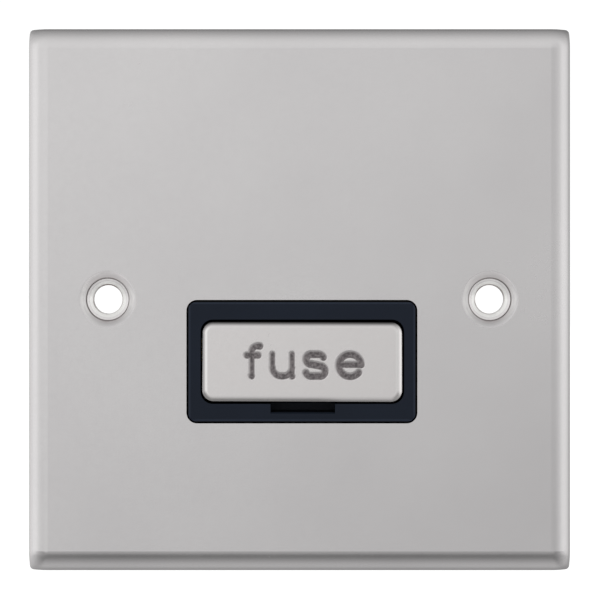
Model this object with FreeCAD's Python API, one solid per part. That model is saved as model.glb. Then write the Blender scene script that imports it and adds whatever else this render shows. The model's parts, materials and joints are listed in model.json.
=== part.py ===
import FreeCAD, Part
import math
import os

# One-gang fused spur unit (fused connection unit without a switch).
# Frame, in millimetres: +Z up, the front faces -Y, +X is right as seen from the front.
# Origin: on the wall plane (the rim of the plate), at the plate's centre, which is midway between
# the two plate fixing holes to within 0.15 mm.

V = FreeCAD.Vector
OUT = "parts"
os.makedirs(OUT, exist_ok=True)

# ---- driving dimensions -------------------------------------------------------------------
PLATE = 86.0            # square one-gang plate
PLATE_D = 4.2           # wall plane to front face
SHEET = 1.0             # plate sheet thickness
EDGE_R = 3.3            # round of the pressed edge
FIX_X = 30.15           # fixing holes at 60.3 mm centres
FIX_DX, FIX_DZ = -0.12, 0.06              # the pair's middle, from the plate's centre
FIX_R = 2.25            # fixing hole radius
CSK_R = 3.3             # radius of the countersink's mouth

INSERT_X = 0.38         # the insert and its window sit this far right of the plate's centre
WIN_Z = -9.78           # centre height of the window and of the fuse carrier
WIN_W, WIN_H, WIN_R = 36.44, 19.49, 1.68  # window in the plate
WIN_GAP = 0.26          # gap between the window and the black frame
DRAW_X = 0.07           # aperture, notch and cap sit this far right of the frame's centre
COL_Y = -4.6            # front face of the black frame
APER_W, APER_H, APER_R = 32.1, 13.3, 1.95 # aperture for the carrier

CAP_W, CAP_H, CAP_RC = 31.6, 12.5, 1.8    # metal cap on the carrier
CAP_Y0, CAP_Y1 = -4.9, -3.4               # cap front face and skirt end
CAP_T = 0.6
CAP_EDGE = 0.9
ENGRAVE = 0.22          # depth of the engraved word

TRAVEL = 11.0           # the carrier pulls out this far

HX, HZ, WALL = 25.3, 24.0, 1.6            # moulded housing, half sizes and wall
FL_Z = 31.5                               # half height of the housing's flange
Y_IN = -PLATE_D + SHEET                   # back of the face sheet
Y_FL = -1.2                               # back of the flange
Y_H = 18.2                                # rear rim of the housing
COVER_T = 2.0
STUD = [(-19.0, 27.6), (19.0, 27.6), (-19.0, -27.6), (19.0, -27.6)]
EARTH_STUD_Z = 28.0

FUSE_Y, FUSE_Z = 0.85, WIN_Z              # fuse centre
FUSE_L, FUSE_CAP_R, FUSE_TUBE_R = 25.4, 3.175, 2.95
FUSE_CAP_L = 5.5

TERM_X = {"supply_live": -20.3, "supply_neutral": -12.2, "supply_earth": -4.1,
          "load_earth": 4.1, "load_neutral": 12.2, "load_live": 20.3}
TERM_Z0, TERM_Z1, TERM_ZC = 7.0, 16.0, 11.5
TERM_Y0, TERM_Y1 = 6.0, 14.6
BORE_R, BORE_Y = 2.2, 9.8
SCREW_R, SCREW_HEAD_R, SCREW_HEAD_H = 1.75, 2.5, 1.8
SCREW_TIP, SCREW_SEAT = 12.05, 18.25
SCREW_TRAVEL = 3.6
COVER_SCREW = [(-21.4, -15.5), (21.4, -15.5)]


# ---- helpers ------------------------------------------------------------------------------
def box(x0, x1, y0, y1, z0, z1):
    return Part.makeBox(abs(x1 - x0), abs(y1 - y0), abs(z1 - z0), V(min(x0, x1), min(y0, y1), min(z0, z1)))


def cyl_y(cx, cz, r, y0, y1):
    return Part.makeCylinder(r, y1 - y0, V(cx, y0, cz), V(0, 1, 0))


def cyl_z(cx, cy, r, z0, z1):
    return Part.makeCylinder(r, z1 - z0, V(cx, cy, z0), V(0, 0, 1))


def cyl_x(cy, cz, r, x0, x1):
    return Part.makeCylinder(r, x1 - x0, V(x0, cy, cz), V(1, 0, 0))


def rr_wire(cx, cz, w, h, r, y):
    a, b = w / 2.0, h / 2.0
    k = r * math.sqrt(0.5)
    e = []
    for sx, sz, start in ((1, 1, 0), (-1, 1, 90), (-1, -1, 180), (1, -1, 270)):
        c = V(cx + sx * (a - r), y, cz + sz * (b - r))
        p = [V(c.x + r * math.cos(math.radians(start + d)), y, c.z + r * math.sin(math.radians(start + d))) for d in (0, 45, 90)]
        e.append(p)
    edges = []
    for i in range(4):
        p = e[i]
        edges.append(Part.Arc(p[0], p[1], p[2]).toShape())
        q = e[(i + 1) % 4][0]
        if p[2].distanceToPoint(q) > 1e-7:
            edges.append(Part.LineSegment(p[2], q).toShape())
    return Part.Wire(edges)


def rrect(cx, cz, w, h, r, y0, y1):
    s = Part.Face(rr_wire(cx, cz, w, h, r, y0)).extrude(V(0, y1 - y0, 0))
    return s


def prism(points, direction):
    w = Part.makePolygon([V(*p) for p in points] + [V(*points[0])])
    return Part.Face(w).extrude(V(*direction))


def revolve_y(cx, cz, profile):
    """profile: (radius, y) points, turned about the line through (cx, cz) along Y."""
    w = Part.makePolygon([V(cx + r, y, cz) for r, y in profile] + [V(cx + profile[0][0], profile[0][1], cz)])
    return Part.Face(w).revolve(V(cx, 0, cz), V(0, 1, 0), 360)


def fuse(first, *others):
    s = first
    for o in others:
        s = s.fuse(o)
    return s.removeSplitter()


def fillet_where(shape, r, test):
    edges = [e for e in shape.Edges if test(e)]
    return shape.makeFillet(r, edges) if edges else shape


def chamfer_where(shape, d, test):
    edges = [e for e in shape.Edges if test(e)]
    return shape.makeChamfer(d, edges) if edges else shape


def on_y(y, tol=1e-4):
    return lambda e: abs(e.BoundBox.YMin - y) < tol and abs(e.BoundBox.YMax - y) < tol


def strip(points, t, r, lo, hi, plane):
    """A bent strip: centreline points in a plane with bends of centre radius r, extruded from lo to hi.
    plane 'yz' extrudes along X and 'xy' along Z."""
    def p3(a, b, c):
        return V(c, a, b) if plane == "yz" else V(a, b, c)

    def d3(c):
        return V(c, 0, 0) if plane == "yz" else V(0, 0, c)

    n = len(points)
    seg_start = [None] * n
    seg_end = [None] * n
    solids = []
    for i in range(1, n - 1):
        p, q, s = points[i - 1], points[i], points[i + 1]
        u = (p[0] - q[0], p[1] - q[1])
        w = (s[0] - q[0], s[1] - q[1])
        lu, lw = math.hypot(*u), math.hypot(*w)
        u, w = (u[0] / lu, u[1] / lu), (w[0] / lw, w[1] / lw)
        ang = math.acos(max(-1, min(1, u[0] * w[0] + u[1] * w[1])))
        d = r / math.tan(ang / 2)
        bis = (u[0] + w[0], u[1] + w[1])
        lb = math.hypot(*bis)
        h = r / math.sin(ang / 2)
        c = (q[0] + bis[0] / lb * h, q[1] + bis[1] / lb * h)
        a, b = (q[0] + u[0] * d, q[1] + u[1] * d), (q[0] + w[0] * d, q[1] + w[1] * d)
        seg_end[i - 1] = a
        seg_start[i] = b
        m = (c[0] - bis[0] / lb * r, c[1] - bis[1] / lb * r)

        def radial(pt, rad):
            v = (pt[0] - c[0], pt[1] - c[1])
            lv = math.hypot(*v)
            return (c[0] + v[0] / lv * rad, c[1] + v[1] / lv * rad)
        ro, ri = r + t / 2, r - t / 2
        o = [radial(x, ro) for x in (a, m, b)]
        k = [radial(x, ri) for x in (a, m, b)]
        w_ = Part.Wire([
            Part.Arc(p3(*o[0], lo), p3(*o[1], lo), p3(*o[2], lo)).toShape(),
            Part.LineSegment(p3(*o[2], lo), p3(*k[2], lo)).toShape(),
            Part.Arc(p3(*k[2], lo), p3(*k[1], lo), p3(*k[0], lo)).toShape(),
            Part.LineSegment(p3(*k[0], lo), p3(*o[0], lo)).toShape()])
        solids.append(Part.Face(w_).extrude(d3(hi - lo)))
    seg_start[0], seg_end[n - 2] = points[0], points[-1]
    for i in range(n - 1):
        a, b = seg_start[i], seg_end[i]
        v = (b[0] - a[0], b[1] - a[1])
        lv = math.hypot(*v)
        if lv < 1e-6:
            continue
        nx, ny = -v[1] / lv * t / 2, v[0] / lv * t / 2
        pts = [(a[0] + nx, a[1] + ny), (b[0] + nx, b[1] + ny), (b[0] - nx, b[1] - ny), (a[0] - nx, a[1] - ny)]
        w_ = Part.makePolygon([p3(*x, lo) for x in pts] + [p3(*pts[0], lo)])
        solids.append(Part.Face(w_).extrude(d3(hi - lo)))
    return fuse(*solids)


def save(shape, name, shift=INSERT_X):
    if shift:
        shape = shape.copy()
        shape.translate(V(shift, 0, 0))
    solids = shape.Solids
    if len(solids) != 1:
        print("NOTE", name, "has", len(solids), "solids")
    for s in solids:
        if not s.isValid() or s.Volume <= 0:
            print("BAD", name, s.isValid(), s.Volume)
    out = solids[0] if len(solids) == 1 else Part.makeCompound(solids)
    out.exportStep(os.path.join(OUT, name + ".step"))
    b = shape.BoundBox
    print("%-24s vol %9.1f  x %.2f..%.2f  y %.2f..%.2f  z %.2f..%.2f" % (name, shape.Volume, b.XMin, b.XMax, b.YMin, b.YMax, b.ZMin, b.ZMax))


# ---- the pressed plate --------------------------------------------------------------------
def bezier_surface(poles, weights):
    s = Part.BSplineSurface()
    nu, nv = len(poles), len(poles[0])
    s.buildFromPolesMultsKnots(poles, [nu, nu], [nv, nv], [0.0, 1.0], [0.0, 1.0], False, False, nu - 1, nv - 1, weights)
    return s.toShape()


def pan(half, y_open, y_face, r_edge):
    """A square tray form, open rim at y_open and face at y_face, with a quarter-round edge. In a
    corner the falls of the two rounds add up, and the rim's plane cuts the corner off there: that
    leaves a small round of about 1 mm in the outline."""
    q = math.sqrt(0.5)
    w, k = (1 + 2 * q) / 3, 1 / (1 + 2 * q)
    # the quarter round as a rational cubic: inset, fall, weight
    prof = [(0.0, r_edge, 1.0), (0.0, r_edge * k, w), (r_edge * k, 0.0, w), (r_edge, 0.0, 1.0)]
    flat = half - r_edge
    y_mid, y_tip = y_face + r_edge, y_face + 2 * r_edge
    y_top = y_tip + 0.5
    corner = bezier_surface([[V(half - i, y_face + f + g, half - j) for j, g, _ in prof] for i, f, _ in prof],
                            [[wi * wj for _, _, wj in prof] for _, _, wi in prof])
    side = bezier_surface([[V(half - i, y_face + f, -flat), V(half - i, y_face + f, flat)] for i, f, _ in prof],
                          [[wi, wi] for _, _, wi in prof])
    curves = []
    for sign in (1, -1):
        c = Part.BezierCurve()
        c.increase(3)
        for n, (j, g, wj) in enumerate(prof):
            c.setPole(n + 1, V(half, y_mid + g, sign * (half - j)), wj)
        curves.append(c.toShape())
    line = [V(half, y_mid, flat), V(half, y_mid, -flat)], [V(half, y_tip, half), V(half, y_top, half)], \
           [V(half, y_top, half), V(half, y_top, -half)], [V(half, y_top, -half), V(half, y_tip, -half)]
    wall = Part.Face(Part.Wire(Part.__sortEdges__(curves + [Part.makeLine(u, v) for u, v in line])))
    faces = []
    for n in range(4):
        for f in (corner, side, wall):
            g = f.copy()
            g.rotate(V(0, 0, 0), V(0, 1, 0), 90 * n)
            faces.append(g)
    for y, h in ((y_face, flat), (y_top, half)):
        faces.append(Part.Face(Part.makePolygon([V(-h, y, -h), V(h, y, -h), V(h, y, h), V(-h, y, h), V(-h, y, -h)])))
    c = Part.makeCompound(faces)
    c.sewShape()
    shell = c.Shells[0] if c.Shells else Part.Shell(c.Faces)
    s = Part.Solid(shell)
    if s.Volume < 0:
        s.reverse()
    # keep what lies in front of the rim's plane
    return s.common(Part.makeBox(4 * half, y_open - y_face + 5, 4 * half, V(-2 * half, y_face - 5, -2 * half)))


half = PLATE / 2
outer = pan(half, 0.0, -PLATE_D, EDGE_R)
inner = pan(half - SHEET, 1.0, Y_IN, EDGE_R - SHEET)
plate = outer.cut(inner)
plate = plate.cut(rrect(INSERT_X, WIN_Z, WIN_W, WIN_H, WIN_R, -6, -2))
face = -PLATE_D
hole_end = face + 2.1
DISH_R = 4.6            # shallow dish round the countersink
for sx in (-1, 1):
    cx, cz = sx * FIX_X + FIX_DX, FIX_DZ
    boss = revolve_y(cx, cz, [(0, Y_IN - 0.3), (DISH_R, Y_IN - 0.3), (DISH_R, Y_IN), (3.35, hole_end), (0, hole_end)])
    plate = plate.fuse(boss)
    # shallow dish, steep step at the countersink's mouth, cone, hole
    a, m, b = V(cx + DISH_R, face, cz), V(cx + 4.0, face + 0.0215, cz), V(cx + CSK_R + 0.1, face + 0.09, cz)
    line = [b, V(cx + CSK_R, face + 0.50, cz), V(cx + FIX_R, face + 1.22, cz), V(cx + FIX_R, hole_end + 0.5, cz),
            V(cx, hole_end + 0.5, cz), V(cx, face - 1, cz), V(cx + DISH_R, face - 1, cz), a]
    edges = [Part.Arc(a, m, b).toShape()] + [Part.LineSegment(line[k], line[k + 1]).toShape() for k in range(len(line) - 1)]
    tool = Part.Face(Part.Wire(edges)).revolve(V(cx, 0, cz), V(0, 1, 0), 360)
    plate = plate.cut(tool)
plate = plate.removeSplitter()
save(plate, "front_plate", 0)

# weld studs on the back of the plate, with push-on washers that hold the housing
for i, (x, z) in enumerate(STUD):
    tag = ("top_left", "top_right", "bottom_left", "bottom_right")[i]
    st = cyl_y(x, z, 1.5, Y_IN, -0.25)
    st = chamfer_where(st, 0.25, on_y(-0.25))
    save(st, "plate_stud_" + tag)
    w = revolve_y(x, z, [(3.2, Y_FL), (3.2, Y_FL + 0.35), (2.3, Y_FL + 0.35), (1.53, Y_FL + 0.78), (1.53, Y_FL + 0.43), (2.2, Y_FL + 0.02), (2.2, Y_FL)])
    for k in range(6):
        slot = box(x + 1.0, x + 2.35, Y_FL - 0.5, Y_FL + 1.5, z - 0.22, z + 0.22)
        slot.rotate(V(x, 0, z), V(0, 1, 0), 60 * k + 15)
        w = w.cut(slot)
    save(w, "push_washer_" + tag)

es = cyl_y(0, EARTH_STUD_Z, 1.5, Y_IN, 1.5)
es = chamfer_where(es, 0.25, on_y(1.5))
save(es, "earth_stud")
hexa = [(0 + 3.2 * math.cos(math.radians(a + 30)), Y_FL + 0.52, EARTH_STUD_Z + 3.2 * math.sin(math.radians(a + 30))) for a in range(0, 360, 60)]
nut = prism(hexa, (0, 1.68, 0)).cut(cyl_y(0, EARTH_STUD_Z, 1.53, -5, 5))
nut = nut.common(revolve_y(0, EARTH_STUD_Z, [(0, Y_FL + 0.5), (3.3, Y_FL + 0.5), (3.3, Y_FL + 1.85), (2.75, Y_FL + 2.2), (0, Y_FL + 2.2)]))
save(nut, "earth_nut")

# ---- housing ------------------------------------------------------------------------------
h = rrect(0, 0, 2 * HX, 2 * HZ, 2.5, Y_IN, Y_H)
h = h.cut(rrect(0, 0, 2 * (HX - WALL), 2 * (HZ - WALL), 1.2, Y_FL, Y_H + 1))
h = h.fuse(rrect(0, 0, 2 * HX, 2 * FL_Z, 3.0, Y_IN, Y_FL))
h = h.fuse(rrect(0, WIN_Z, WIN_W - 2 * WIN_GAP, WIN_H - 2 * WIN_GAP, WIN_R - WIN_GAP, COL_Y, Y_IN + 0.1))
h = h.removeSplitter()
h = fillet_where(h, 0.3, on_y(COL_Y))
TUN0, TUN1 = WIN_Z - APER_H / 2, WIN_Z + APER_H / 2   # carrier tunnel, bottom and top
parts_in = []
for s in (-1, 1):
    parts_in += [box(s * 16.05, s * 19.0, Y_FL, 2.0, TUN0 - 2.4, TUN1 + 1.5),
                 box(s * 17.5, s * 19.0, 2.0, Y_H, TUN0 - 2.4, TUN1 + 1.5)]
parts_in += [box(-19, 19, Y_FL, Y_H, TUN0 - 2.4, TUN0), box(-19, 19, Y_FL, Y_H, TUN1, TUN1 + 1.5)]
for x in (-16.25, -8.15, 8.15, 16.25):
    parts_in.append(box(x - 0.5, x + 0.5, Y_FL, Y_H, 4.6, 22.5))
# pads in front of the terminal blocks and ledges under them
for s in (-1, 1):
    parts_in += [box(s * 17.6, s * 23.9, Y_FL, 5.4, 8.2, 14.6),
                 box(s * 9.4, s * 15.0, Y_FL, 5.2, 8.6, 14.6),
                 box(s * 16.75, s * 18.4, Y_FL, 14.4, 5.4, 6.85),
                 box(s * 8.65, s * 10.0, Y_FL, 14.4, 5.4, 6.85),
                 box(s * 14.4, s * 15.75, Y_FL, 14.4, 5.4, 6.85),
                 box(s * 5.2, s * 7.65, Y_FL, 14.4, 5.4, 6.85),
                 cyl_y(s * 21.4, -15.5, 2.45, Y_FL, Y_H),
                 box(s * 18.9, s * 24.0, Y_FL, Y_H, -15.9, -15.1)]
parts_in.append(box(-6.6, 6.6, Y_FL, 5.5, 8.2, 14.6))
h = fuse(h, *parts_in)
# aperture, lever notch
h = h.cut(rrect(DRAW_X, WIN_Z, APER_W, APER_H, APER_R, COL_Y - 1, Y_FL + 0.01))
nz = WIN_Z - 8.2
nx = DRAW_X - 5.02
notch = prism([(nx, COL_Y - 0.5, nz), (nx, COL_Y, nz), (nx, COL_Y + 0.3, nz + 0.25), (nx, 0.6, nz + 0.4), (nx, 0.6, TUN0 + 0.9), (nx, COL_Y - 0.5, TUN0 + 0.9)], (10.18, 0, 0))
h = h.cut(notch)
# slots for the arms of the fuse contacts, open to the rear
for s in (-1, 1):
    h = h.cut(box(s * 17.0, s * 19.2, 5.1, Y_H + 1, -10.3, -6.1))
    h = h.cut(cyl_y(s * 21.4, -15.5, 1.5, 6.0, Y_H + 1))
    # catch windows for the cover's tongues
    h = h.cut(box(s * 10.4, s * 14.0, 15.1, 17.0, 22.0, 25.0))
# wire entries in the top wall
for x in TERM_X.values():
    h = h.cut(cyl_z(x, BORE_Y, 2.9, 20.0, 26.0))
# slot for the earth strap, flange holes
h = h.cut(box(-2.8, 2.8, 5.2, 6.3, 21.5, 26.0))
for x, z in STUD + [(0, EARTH_STUD_Z)]:
    h = h.cut(cyl_y(x, z, 1.75, -5, 0))
h = h.removeSplitter()
save(h, "housing")

# ---- rear cover ---------------------------------------------------------------------------
YC0, YC1 = Y_H, Y_H + COVER_T
c = rrect(0, 0, 2 * HX, 2 * HZ, 2.5, YC0, YC1)
c = fillet_where(c, 0.5, on_y(YC1))
add = []
for name, x in TERM_X.items():
    add += [box(x - 2.8, x + 2.8, 14.65, YC0 + 0.1, 7.2, 8.4), box(x - 2.8, x + 2.8, 14.65, YC0 + 0.1, 14.6, 15.8)]
for s in (-1, 1):
    add += [box(s * 8.4, s * 11.8, 6.05, YC0 + 0.1, -12.6, -6.8),
            box(s * 10.7, s * 13.7, 15.3, YC0 + 0.1, 20.9, 22.25),
            prism([(s * 10.7, 15.3, 22.2), (s * 10.7, 16.7, 22.2), (s * 10.7, 16.7, 23.3), (s * 10.7, 16.2, 23.3)], (s * 3.0, 0, 0))]
c = fuse(c, *add)
for x in TERM_X.values():
    c = c.cut(cyl_y(x, TERM_ZC, 2.8, YC0 - 0.5, YC1 + 1))
    c = c.cut(revolve_y(x, TERM_ZC, [(0, YC1 - 0.35), (2.8, YC1 - 0.35), (3.25, YC1 + 0.1), (0, YC1 + 0.1)]))
for x, z in COVER_SCREW:
    c = c.cut(cyl_y(x, z, 1.7, YC0 - 1, YC1 + 1))
    c = c.cut(revolve_y(x, z, [(0, YC1 + 0.1), (2.95, YC1 + 0.1), (2.85, YC1), (1.7, YC1 - 1.15), (0, YC1 - 1.15)]))
# raised terminal marks: L, N, the earth sign, and arrows for in and out
marks = []
E = 0.25


def bar(x0, z0, x1, z1, w=0.5):
    d = V(x1 - x0, 0, z1 - z0)
    L = d.Length
    n = V(-d.z / L * w / 2, 0, d.x / L * w / 2)
    pts = [(x0 + n.x, YC1 - 0.1, z0 + n.z), (x1 + n.x, YC1 - 0.1, z1 + n.z), (x1 - n.x, YC1 - 0.1, z1 - n.z), (x0 - n.x, YC1 - 0.1, z0 - n.z)]
    return prism(pts, (0, 0.1 + E, 0))


# seen from behind, +X runs to the left, so the marks are mirrored in X here
for name, x in TERM_X.items():
    z0 = 4.0
    if name.endswith("live"):
        marks += [bar(x + 0.9, z0, x + 0.9, z0 + 3.0), bar(x + 1.15, z0 + 0.25, x - 0.9, z0 + 0.25)]
    elif name.endswith("neutral"):
        marks += [bar(x + 1.0, z0, x + 1.0, z0 + 3.0), bar(x - 1.0, z0, x - 1.0, z0 + 3.0), bar(x + 0.98, z0 + 2.85, x - 0.98, z0 + 0.15)]
    else:
        marks += [bar(x, z0 + 1.5, x, z0 + 3.0), bar(x - 1.2, z0 + 1.5, x + 1.2, z0 + 1.5), bar(x - 0.8, z0 + 0.75, x + 0.8, z0 + 0.75, 0.45), bar(x - 0.4, z0, x + 0.4, z0, 0.45)]
for s, up in ((-1, False), (1, True)):
    x = s * 12.2
    tip, base = (1.9, 0.3) if up else (0.3, 1.9)
    marks.append(prism([(x - 1.1, YC1 - 0.1, base), (x + 1.1, YC1 - 0.1, base), (x, YC1 - 0.1, tip)], (0, 0.1 + E, 0)))
    marks.append(bar(x, -1.9, x, 1.0, 0.5) if up else bar(x, 4.0 - 2.9, x, -0.0, 0.5))
for m in marks:
    c = c.fuse(m)
c = c.removeSplitter()
save(c, "rear_cover")

for i, (x, z) in enumerate(COVER_SCREW):
    s = revolve_y(x, z, [(0, 8.3), (0.3, 8.3), (1.45, 10.2), (1.45, YC1 - 1.3), (2.7, YC1 - 0.1), (0, YC1 - 0.1)])
    cross = fuse(box(x - 1.5, x + 1.5, YC1 - 1.3, YC1 + 1, z - 0.28, z + 0.28), box(x - 0.28, x + 0.28, YC1 - 1.3, YC1 + 1, z - 1.5, z + 1.5))
    cone = revolve_y(x, z, [(0, YC1 - 1.35), (0.35, YC1 - 1.3), (1.5, YC1 - 0.05), (1.5, YC1 + 1), (0, YC1 + 1)])
    s = s.cut(cross.common(cone))
    save(s, "cover_screw_" + ("left", "right")[i])

# ---- fuse carrier -------------------------------------------------------------------------
core_y = CAP_Y0 + CAP_T + 0.05
front_core = rrect(DRAW_X, WIN_Z, CAP_W - 2 * CAP_T - 0.2, CAP_H - 2 * CAP_T - 0.2, 0.8, core_y, CAP_Y1 + 0.1)
front_core = chamfer_where(front_core, 0.4, on_y(core_y))
front_fl = rrect(DRAW_X, WIN_Z, CAP_W - 0.1, CAP_H - 0.1, CAP_RC - 0.05, CAP_Y1 + 0.02, -2.6)
tray = rrect(0, WIN_Z, 31.2, 12.2, 1.7, -2.7, 15.5)
tray = tray.cut(box(-13.4, 13.4, -2.6, 16, -14.6, 0))
tray = tray.cut(box(-20, 20, -2.6, 4.4, -5.2, 5))
tray = tray.cut(box(-20, 20, 4.4, 16, -10.6, 5))
add = []
for s in (-1, 1):
    lug = prism([(s * 15.5, 13.05, -15.2), (s * 17.2, 13.05, -15.2), (s * 17.2, 14.2, -15.2), (s * 15.9, 15.5, -15.2), (s * 15.5, 15.5, -15.2)], (0, 0, 4.0))
    add.append(lug)
    sad = box(s * 3.5, s * 5.5, -2.65, 4.25, -14.65, -11.6)
    add.append(sad)
rib = box(-6.5, 6.5, 4.2, 5.3, -14.65, -6.4)
lip = prism([(-4.5, 4.25, -7.6), (-4.5, 3.55, -6.9), (-4.5, 4.25, -6.4)], (9.0, 0, 0))
car = fuse(front_core, front_fl, tray, *add, rib, lip)
car = car.cut(cyl_x(FUSE_Y, FUSE_Z, FUSE_TUBE_R + 0.03, -7, 7))
# lever recess behind the cap's lower skirt
car = car.cut(box(-4.6, 4.6, CAP_Y1, -2.4, -16.2, -14.75))
save(car.removeSplitter(), "fuse_carrier")

# ---- metal cap with the engraved word -----------------------------------------------------
cap = rrect(DRAW_X, WIN_Z, CAP_W, CAP_H, CAP_RC, CAP_Y0, CAP_Y1)
cap = fillet_where(cap, CAP_EDGE, on_y(CAP_Y0))
core = rrect(DRAW_X, WIN_Z, CAP_W - 2 * CAP_T, CAP_H - 2 * CAP_T, CAP_RC - CAP_T, CAP_Y0 + CAP_T, CAP_Y1 + 1)
core = fillet_where(core, 0.5, on_y(CAP_Y0 + CAP_T))
cap = cap.cut(core)

# the word's strokes: straight runs and arcs in cap coordinates (x right, z up from the cap's centre)
# the last number of each item is the stroke's width
LETTERS = [
    # f
    ("line", (-7.92, -2.38), (-7.92, 1.52), 0.90), ("arc", (-6.97, 1.52), 0.95, 180, 90, 1.02), ("line", (-6.97, 2.45), (-6.66, 2.43), 1.14),
    ("line", (-8.70, 0.99), (-6.92, 0.99), 1.08),
    # u
    ("line", (-4.68, 1.21), (-4.68, -0.91), 0.92), ("arc", (-3.30, -0.91), 1.36, 180, 270, 1.06), ("line", (-3.30, -2.26), (-2.93, -2.26), 1.10),
    ("arc", (-2.93, -0.91), 1.36, 270, 360, 1.0), ("line", (-1.59, 1.21), (-1.59, -2.37), 0.92),
    # s
    ("arc", (2.60, 0.33), 0.83, 26, 90, 1.14), ("line", (2.60, 1.15), (1.46, 1.15), 1.18), ("arc", (1.46, 0.38), 0.80, 90, 254, 1.18),
    ("line", (1.24, -0.35), (3.02, -0.69), 1.20), ("arc", (2.80, -1.47), 0.80, 74, -90, 1.18), ("line", (2.80, -2.26), (1.42, -2.26), 1.18),
    ("arc", (1.42, -1.43), 0.86, 270, 200, 1.14),
    # e
    ("arc", (7.56, -0.56), 1.74, 4, 330, 1.16), ("line", (5.86, -0.43), (9.33, -0.43), 1.06),
]


def stroke_solid(item, y0, y1):
    w = item[-1]
    if item[0] == "line":
        (x0, z0), (x1, z1) = item[1], item[2]
        x0, x1, z0, z1 = x0 + DRAW_X, x1 + DRAW_X, z0 + WIN_Z, z1 + WIN_Z
        L = math.hypot(x1 - x0, z1 - z0)
        nx, nz = -(z1 - z0) / L * w / 2, (x1 - x0) / L * w / 2
        pts = [(x0 + nx, y0, z0 + nz), (x1 + nx, y0, z1 + nz), (x1 - nx, y0, z1 - nz), (x0 - nx, y0, z0 - nz)]
        s = prism(pts, (0, y1 - y0, 0))
        ends = [(x0, z0), (x1, z1)]
    else:
        (cx, cz), r, a0, a1 = item[1], item[2], math.radians(item[3]), math.radians(item[4])
        cx, cz = cx + DRAW_X, cz + WIN_Z

        def pt(rad, a):
            return V(cx + rad * math.cos(a), y0, cz + rad * math.sin(a))
        am = (a0 + a1) / 2
        ro, ri = r + w / 2, r - w / 2
        wire = Part.Wire([Part.Arc(pt(ro, a0), pt(ro, am), pt(ro, a1)).toShape(), Part.LineSegment(pt(ro, a1), pt(ri, a1)).toShape(),
                          Part.Arc(pt(ri, a1), pt(ri, am), pt(ri, a0)).toShape(), Part.LineSegment(pt(ri, a0), pt(ro, a0)).toShape()])
        s = Part.Face(wire).extrude(V(0, y1 - y0, 0))
        ends = [(cx + r * math.cos(a), cz + r * math.sin(a)) for a in (a0, a1)]
    for x, z in ends:
        s = s.fuse(cyl_y(x, z, w / 2, y0, y1))
    return s


word = None
for item in LETTERS:
    s = stroke_solid(item, CAP_Y0 - 0.5, CAP_Y0 + ENGRAVE)
    word = s if word is None else word.fuse(s)
word = word.removeSplitter()
cap = cap.cut(word)
save(cap, "carrier_cap")

# ---- cartridge fuse -----------------------------------------------------------------------
hl = FUSE_L / 2
tube = cyl_x(FUSE_Y, FUSE_Z, FUSE_TUBE_R, -hl + 0.45, hl - 0.45).cut(cyl_x(FUSE_Y, FUSE_Z, 1.9, -20, 20))
save(tube, "fuse_tube")
for s, tag in ((-1, "supply"), (1, "load")):
    x0, x1 = sorted((s * hl, s * (hl - FUSE_CAP_L)))
    e = cyl_x(FUSE_Y, FUSE_Z, FUSE_CAP_R, x0, x1)
    e = e.makeFillet(0.35, [k for k in e.Edges if abs(k.BoundBox.XMin - s * hl) < 1e-4 and abs(k.BoundBox.XMax - s * hl) < 1e-4])
    xi = sorted((s * (hl - 0.4), s * (hl - FUSE_CAP_L - 1)))
    e = e.cut(cyl_x(FUSE_Y, FUSE_Z, FUSE_TUBE_R + 0.02, xi[0], xi[1]))
    save(e, "fuse_end_cap_" + tag)
el = fuse(cyl_x(FUSE_Y, FUSE_Z, 0.16, -hl + 0.42, hl - 0.42), cyl_x(FUSE_Y, FUSE_Z, 0.42, -1.1, 1.1))
save(el, "fuse_element")

# ---- fuse contacts ------------------------------------------------------------------------
T = 0.6
for s, tag in ((-1, "supply"), (1, "load")):
    def bx(x0, x1, y0, y1, z0, z1, s=s):
        return box(s * x0, s * x1, y0, y1, z0, z1)
    plate_y0, plate_y1 = 5.4, 6.0
    gap = 3.3
    ym, zc = (plate_y0 + plate_y1) / 2, FUSE_Z
    # the U clip: web behind the fuse, legs above and below, flared mouths
    zt = gap + T / 2
    clip = strip([(-1.65, zc + zt + 0.42), (-0.85, zc + zt), (ym, zc + zt), (ym, zc - zt), (-0.85, zc - zt), (-1.65, zc - zt - 0.42)], T, 0.55, min(s * 8.0, s * 12.2), max(s * 8.0, s * 12.2), "yz")
    arm = bx(12.1, 23.3, plate_y0, plate_y1, -10.0, -6.4)
    riser = bx(19.3, 23.3, plate_y0, plate_y1, -10.0, 14.6)
    head = bx(17.8, 23.3, plate_y0, plate_y1, 8.0, 14.6)
    k = fuse(clip, arm, riser, head)
    save(k, tag + "_fuse_contact")

# ---- terminal blocks ----------------------------------------------------------------------
def block(x0, x1, centres):
    b = box(x0, x1, TERM_Y0, TERM_Y1, TERM_Z0, TERM_Z1)
    b = b.makeChamfer(0.3, [e for e in b.Edges if e.BoundBox.ZLength > 5])
    for x in centres:
        b = b.cut(cyl_z(x, BORE_Y, BORE_R, TERM_Z0 + 0.8, 30))
        b = b.cut(Part.makeCone(BORE_R + 0.45, BORE_R, 0.45, V(x, BORE_Y, TERM_Z1), V(0, 0, -1)))
        b = b.cut(cyl_y(x, TERM_ZC, SCREW_R + 0.05, BORE_Y, 20))
    return b.removeSplitter()


for name in ("supply_live", "supply_neutral", "load_neutral", "load_live"):
    x = TERM_X[name]
    save(block(x - 3.3, x + 3.3, [x]), name + "_block")
save(block(-7.4, 7.4, [TERM_X["supply_earth"], TERM_X["load_earth"]]), "earth_block")

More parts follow.
